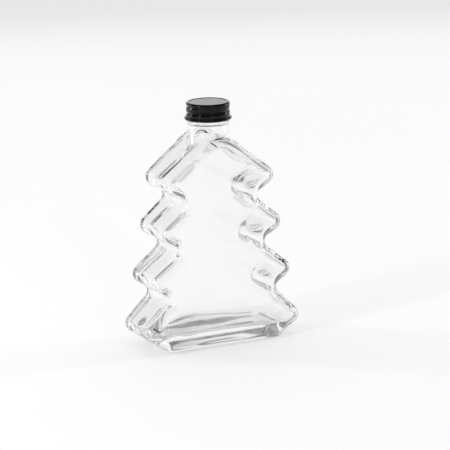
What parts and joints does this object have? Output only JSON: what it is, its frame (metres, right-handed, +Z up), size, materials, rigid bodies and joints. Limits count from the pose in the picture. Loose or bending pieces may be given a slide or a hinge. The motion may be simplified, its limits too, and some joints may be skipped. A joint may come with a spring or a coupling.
{
  "type": "fir-tree glass bottle with screw cap",
  "caption": "Clear glass bottle shaped like a fir tree, with flat faces, a thick base, a short round neck and a black metal screw cap.",
  "frame": {"origin": "centre of the flat foot, on the surface the bottle stands on", "axes": "+Z up along the neck, +X across the branches to the right of the front panel, -Y out of the front panel"},
  "size_m": [0.1076, 0.042, 0.1565],
  "materials": {
    "clear_glass": "polished",
    "black_cap": "gloss"
  },
  "bodies": {
    "root": {"glass_bottle": "clear_glass", "screw_cap": "black_cap"}
  },
  "joints": []
}
